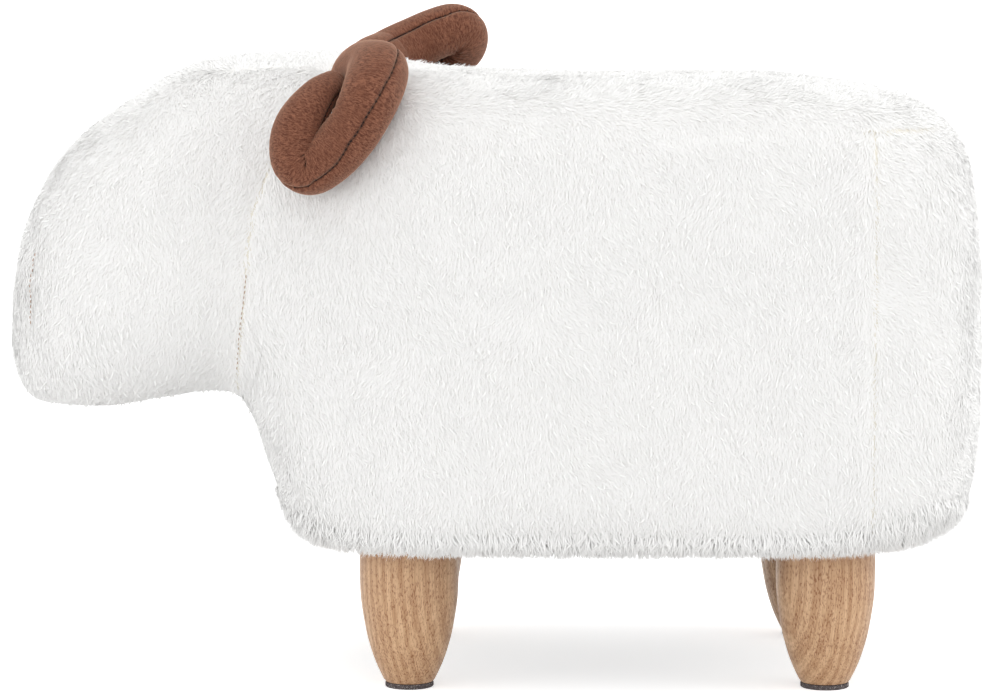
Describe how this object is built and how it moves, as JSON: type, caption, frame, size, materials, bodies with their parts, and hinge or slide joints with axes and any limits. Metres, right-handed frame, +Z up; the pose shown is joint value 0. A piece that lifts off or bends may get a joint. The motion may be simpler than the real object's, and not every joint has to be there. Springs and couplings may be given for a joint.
{
  "type": "animal footstool",
  "caption": "Plush ram footstool: an upholstered box body with a stuffed head, curled velour horns and turned wooden legs that screw into its base.",
  "frame": {"origin": "on the floor, under the middle of the object's overall length and width", "axes": "+Z up, the head towards -X, the object's left side towards -Y"},
  "size_m": [0.603, 0.3143, 0.4103],
  "materials": {
    "plywood": "raw plywood, matt",
    "zinc_plated_steel": "bright zinc plating",
    "foam": "open-cell upholstery foam",
    "fibre_fill": "loose polyester fibre filling",
    "white_plush": "long-pile white plush, matt and fluffy",
    "brown_velour": "short-pile brown velour with darker seams",
    "black_lining": "non-woven lining cloth",
    "turned_rubberwood": "pale wood with fine darker grain, satin lacquer",
    "dark_felt": "dark grey pressed felt with pale flecks"
  },
  "bodies": {
    "stool": {"base_board": "plywood", "seat_board": "plywood", "side_board_left": "plywood", "side_board_right": "plywood", "front_board": "plywood", "rear_board": "plywood", "post_front_left": "plywood", "post_front_right": "plywood", "post_rear_left": "plywood", "post_rear_right": "plywood", "cross_rail": "plywood", "neck_board": "plywood", "base_screw_front_left": "zinc_plated_steel", "base_screw_front_right": "zinc_plated_steel", "base_screw_rear_left": "zinc_plated_steel", "base_screw_rear_right": "zinc_plated_steel", "seat_screw_front_left": "zinc_plated_steel", "seat_screw_front_right": "zinc_plated_steel", "seat_screw_rear_left": "zinc_plated_steel", "seat_screw_rear_right": "zinc_plated_steel", "tee_nut_front_left": "zinc_plated_steel", "tee_nut_front_right": "zinc_plated_steel", "tee_nut_rear_left": "zinc_plated_steel", "tee_nut_rear_right": "zinc_plated_steel", "seat_foam": "foam", "chest_foam": "foam", "side_foam_left": "foam", "side_foam_right": "foam", "rear_foam": "foam", "head_filling": "fibre_fill", "horn_left_filling": "fibre_fill", "horn_right_filling": "fibre_fill", "seat_panel": "white_plush", "side_panel_left": "white_plush", "side_panel_right": "white_plush", "rump_panel": "white_plush", "face_band": "white_plush", "cheek_left": "white_plush", "cheek_right": "white_plush", "horn_left_outer_gore": "brown_velour", "horn_left_inner_gore": "brown_velour", "horn_right_outer_gore": "brown_velour", "horn_right_inner_gore": "brown_velour", "dust_cover": "black_lining"},
    "bolt_front_left": {"hanger_bolt_front_left": "zinc_plated_steel"},
    "leg_front_left": {"leg_front_left": "turned_rubberwood", "felt_pad_front_left": "dark_felt"},
    "bolt_front_right": {"hanger_bolt_front_right": "zinc_plated_steel"},
    "leg_front_right": {"leg_front_right": "turned_rubberwood", "felt_pad_front_right": "dark_felt"},
    "bolt_rear_left": {"hanger_bolt_rear_left": "zinc_plated_steel"},
    "leg_rear_left": {"leg_rear_left": "turned_rubberwood", "felt_pad_rear_left": "dark_felt"},
    "bolt_rear_right": {"hanger_bolt_rear_right": "zinc_plated_steel"},
    "leg_rear_right": {"leg_rear_right": "turned_rubberwood", "felt_pad_rear_right": "dark_felt"}
  },
  "joints": [
    {"name": "travel_front_left", "type": "slide", "parent": "stool", "child": "bolt_front_left", "axis": [0, 0, -1], "range_m": [0, 0.0175]},
    {"name": "turn_front_left", "type": "hinge", "parent": "bolt_front_left", "child": "leg_front_left", "pos_m": [-0.0515, -0.09, 0.0919], "axis": [0, 0, -1], "range_deg": [0, 5040]},
    {"name": "travel_front_right", "type": "slide", "parent": "stool", "child": "bolt_front_right", "axis": [0, 0, -1], "range_m": [0, 0.0175]},
    {"name": "turn_front_right", "type": "hinge", "parent": "bolt_front_right", "child": "leg_front_right", "pos_m": [-0.0515, 0.09, 0.0919], "axis": [0, 0, -1], "range_deg": [0, 5040]},
    {"name": "travel_rear_left", "type": "slide", "parent": "stool", "child": "bolt_rear_left", "axis": [0, 0, -1], "range_m": [0, 0.0175]},
    {"name": "turn_rear_left", "type": "hinge", "parent": "bolt_rear_left", "child": "leg_rear_left", "pos_m": [0.2029, -0.09, 0.0919], "axis": [0, 0, -1], "range_deg": [0, 5040]},
    {"name": "travel_rear_right", "type": "slide", "parent": "stool", "child": "bolt_rear_right", "axis": [0, 0, -1], "range_m": [0, 0.0175]},
    {"name": "turn_rear_right", "type": "hinge", "parent": "bolt_rear_right", "child": "leg_rear_right", "pos_m": [0.2029, 0.09, 0.0919], "axis": [0, 0, -1], "range_deg": [0, 5040]}
  ],
  "couplings": [
    {"joint": "travel_front_left", "follows": "turn_front_left", "m_per_rad": 0.00019894},
    {"joint": "travel_front_right", "follows": "turn_front_right", "m_per_rad": 0.00019894},
    {"joint": "travel_rear_left", "follows": "turn_rear_left", "m_per_rad": 0.00019894},
    {"joint": "travel_rear_right", "follows": "turn_rear_right", "m_per_rad": 0.00019894}
  ]
}
